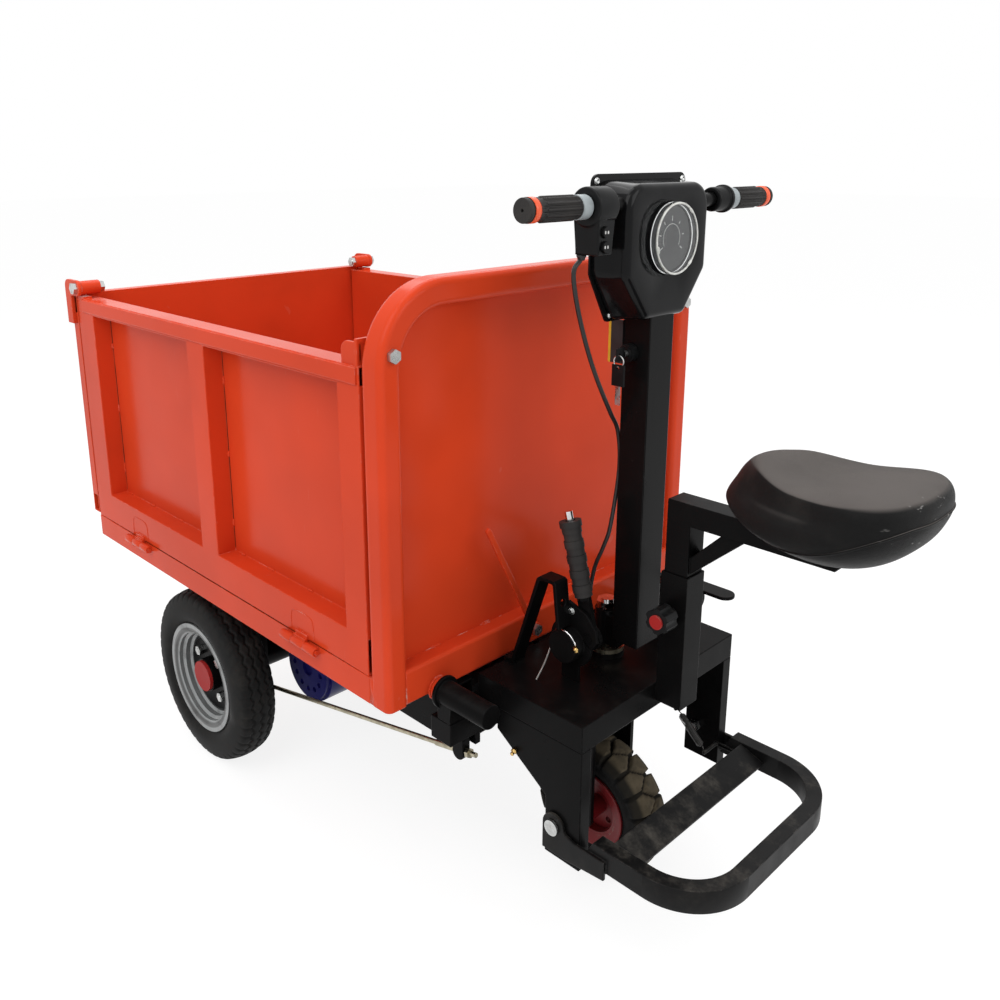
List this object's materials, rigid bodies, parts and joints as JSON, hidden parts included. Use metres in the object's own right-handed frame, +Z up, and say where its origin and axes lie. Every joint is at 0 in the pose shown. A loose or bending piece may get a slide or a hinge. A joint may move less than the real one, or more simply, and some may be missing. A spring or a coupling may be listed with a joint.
{
  "type": "concrete buggy",
  "caption": "Ride-on electric three-wheel tipping cart with an orange drop-side steel bed, tailgate, steering column, saddle, footrest loop and brakes.",
  "frame": {"origin": "on the floor at the middle of the footprint", "axes": "+X to the driver's end, +Y to the driver's right facing the bed, +Z up"},
  "size_m": [1.716, 0.808, 1.234],
  "materials": {
    "orange_paint": "glossy orange-red paint",
    "black_paint": "gloss black paint",
    "zinc": "zinc plated",
    "bronze_rod": "yellow passivated steel",
    "silver_paint": "silver paint",
    "red_paint": "red paint",
    "blue_paint": "blue paint",
    "black_rubber": "matte rubber",
    "tyre": "matte tread rubber",
    "dusty_tyre": "dusty lug rubber",
    "black_plastic": "moulded black plastic",
    "battery_plastic": "battery case",
    "button_plastic": "small buttons",
    "dial": "printed dial",
    "clear_lens": "clear lens",
    "vinyl": "black vinyl, worn",
    "alu": "finned case",
    "chrome": "bright plate"
  },
  "bodies": {
    "chassis": {"main_frame": "black_paint", "deck": "black_paint", "footrest_legs": "black_paint", "seat_sleeve": "black_paint", "steering_bearings": "zinc", "axle_housing": "black_paint", "motor": "blue_paint", "batteries": "battery_plastic", "controller": "alu", "tip_shaft": "zinc", "brake_brackets": "black_paint", "rear_brakes": "black_paint", "handbrake_cable": "zinc", "footrest_bolts": "zinc", "footrest_spring": "zinc"},
    "bed": {"bed_floor": "orange_paint", "bed_end_wall": "orange_paint", "bed_pins": "zinc"},
    "left_side": {"left_drop_side": "orange_paint"},
    "right_side": {"right_drop_side": "orange_paint"},
    "gate": {"tailgate": "orange_paint", "tailgate_hangers": "orange_paint", "tailgate_bolts": "zinc"},
    "latch": {"bed_latch_lever": "orange_paint"},
    "steering": {"steering_column": "black_paint", "steering_fork": "black_paint", "front_axle": "zinc", "head_back_plate": "black_plastic", "head_cover": "black_plastic", "handlebar": "black_paint", "left_grip": "black_rubber", "bar_controls": "black_plastic", "gauge": "dial", "gauge_lens": "clear_lens", "key_switch": "black_plastic", "control_cable": "black_rubber"},
    "throttle": {"throttle_grip": "black_rubber"},
    "ignition_key": {"key": "zinc"},
    "hanging_key": {"spare_key": "black_plastic"},
    "horn": {"horn_button": "button_plastic"},
    "light": {"light_switch": "button_plastic"},
    "front_wheel": {"front_tyre": "dusty_tyre", "front_rim": "red_paint"},
    "rear_left_wheel": {"rear_left_tyre": "tyre", "rear_left_rim": "silver_paint", "rear_left_hub": "black_paint"},
    "rear_right_wheel": {"rear_right_tyre": "tyre", "rear_right_rim": "silver_paint", "rear_right_hub": "black_paint"},
    "foot_loop": {"footrest": "black_paint"},
    "seat": {"seat_post": "black_paint", "saddle": "vinyl"},
    "clamp_knob": {"seat_knob": "black_plastic"},
    "hand_lever": {"handbrake_lever": "black_paint", "handbrake_grip": "black_rubber"},
    "release_button": {"handbrake_button": "chrome"},
    "pedal": {"brake_pedal": "black_paint"},
    "cross_shaft": {"brake_shaft": "black_paint"},
    "rods": {"brake_rods": "bronze_rod"},
    "drum_levers": {"brake_levers": "black_paint"}
  },
  "joints": [
    {"name": "bed_tip", "type": "hinge", "parent": "chassis", "child": "bed", "pos_m": [-0.562, 0, 0.392], "axis": [0, -1, 0], "range_deg": [0, 48]},
    {"name": "left_side_drop", "type": "hinge", "parent": "bed", "child": "left_side", "pos_m": [-0.322, -0.396, 0.462], "axis": [1, 0, 0], "range_deg": [0, 130]},
    {"name": "right_side_drop", "type": "hinge", "parent": "bed", "child": "right_side", "pos_m": [-0.322, 0.396, 0.462], "axis": [-1, 0, 0], "range_deg": [0, 130]},
    {"name": "tailgate_swing", "type": "hinge", "parent": "bed", "child": "gate", "pos_m": [-0.802, 0, 0.989], "axis": [0, 1, 0], "range_deg": [0, 85]},
    {"name": "latch_turn", "type": "hinge", "parent": "bed", "child": "latch", "pos_m": [0.223, -0.06, 0.452], "axis": [-1, 0, 0], "range_deg": [0, 40]},
    {"name": "steer", "type": "hinge", "parent": "chassis", "child": "steering", "pos_m": [0.336, 0, 0.43], "axis": [0, 0, 1], "range_deg": [-40, 40]},
    {"name": "throttle_twist", "type": "hinge", "parent": "steering", "child": "throttle", "pos_m": [0.406, 0.24, 1.192], "axis": [0, 1, 0], "range_deg": [0, 60], "stiffness_Nm_per_rad": 0.5},
    {"name": "key_turn", "type": "hinge", "parent": "steering", "child": "ignition_key", "pos_m": [0.386, -0.05, 0.968], "axis": [0, -1, 0], "range_deg": [0, 75]},
    {"name": "spare_key_swing", "type": "hinge", "parent": "ignition_key", "child": "hanging_key", "pos_m": [0.386, -0.06, 0.968], "axis": [1, 0, 0], "range_deg": [-18, 18]},
    {"name": "horn_press", "type": "slide", "parent": "steering", "child": "horn", "axis": [-1, 0, 0], "range_m": [0, 0.0015], "stiffness_N_per_m": 400},
    {"name": "light_press", "type": "slide", "parent": "steering", "child": "light", "axis": [-1, 0, 0], "range_m": [0, 0.0015], "stiffness_N_per_m": 400},
    {"name": "front_wheel_spin", "type": "hinge", "parent": "steering", "child": "front_wheel", "pos_m": [0.336, 0, 0.128], "axis": [0, 1, 0], "continuous": true},
    {"name": "rear_left_wheel_spin", "type": "hinge", "parent": "chassis", "child": "rear_left_wheel", "pos_m": [-0.466, -0.318, 0.187], "axis": [0, 1, 0], "continuous": true},
    {"name": "rear_right_wheel_spin", "type": "hinge", "parent": "chassis", "child": "rear_right_wheel", "pos_m": [-0.466, 0.318, 0.187], "axis": [0, 1, 0], "continuous": true},
    {"name": "footrest_lift", "type": "hinge", "parent": "chassis", "child": "foot_loop", "pos_m": [0.408, 0, 0.234], "axis": [0, -1, 0], "range_deg": [0, 40], "deforming": ["footrest_spring"]},
    {"name": "seat_raise", "type": "slide", "parent": "chassis", "child": "seat", "axis": [0, 0, 1], "range_m": [0, 0.12]},
    {"name": "knob_turn", "type": "hinge", "parent": "chassis", "child": "clamp_knob", "pos_m": [0.4811, -0.05, 0.562], "axis": [0, 1, 0], "range_deg": [0, 270]},
    {"name": "hand_brake_pull", "type": "hinge", "parent": "chassis", "child": "hand_lever", "pos_m": [0.386, -0.11, 0.515], "axis": [0, 1, 0], "range_deg": [0, 30]},
    {"name": "release_press", "type": "slide", "parent": "hand_lever", "child": "release_button", "axis": [0.2588, 0, -0.9659], "range_m": [0, 0.008], "stiffness_N_per_m": 400},
    {"name": "pedal_press", "type": "hinge", "parent": "chassis", "child": "pedal", "pos_m": [0.343, 0.15, 0.5], "axis": [0, 1, 0], "range_deg": [0, 20], "stiffness_Nm_per_rad": 10, "springref_deg": -11.46},
    {"name": "cross_shaft_turn", "type": "hinge", "parent": "chassis", "child": "cross_shaft", "pos_m": [0.24, 0, 0.332], "axis": [0, -1, 0], "range_deg": [0, 8.2]},
    {"name": "rod_pull", "type": "slide", "parent": "chassis", "child": "rods", "axis": [0.9755, 0, 0.2198], "range_m": [0, 0.0036]},
    {"name": "drum_lever_turn", "type": "hinge", "parent": "chassis", "child": "drum_levers", "pos_m": [-0.42, 0, 0.227], "axis": [0, -1, 0], "range_deg": [0, 3.4]}
  ],
  "couplings": [
    {"joint": "cross_shaft_turn", "follows": "pedal_press", "ratio": 0.4},
    {"joint": "rod_pull", "follows": "pedal_press", "m_per_rad": 0.0096},
    {"joint": "drum_lever_turn", "follows": "pedal_press", "ratio": 0.14524}
  ]
}
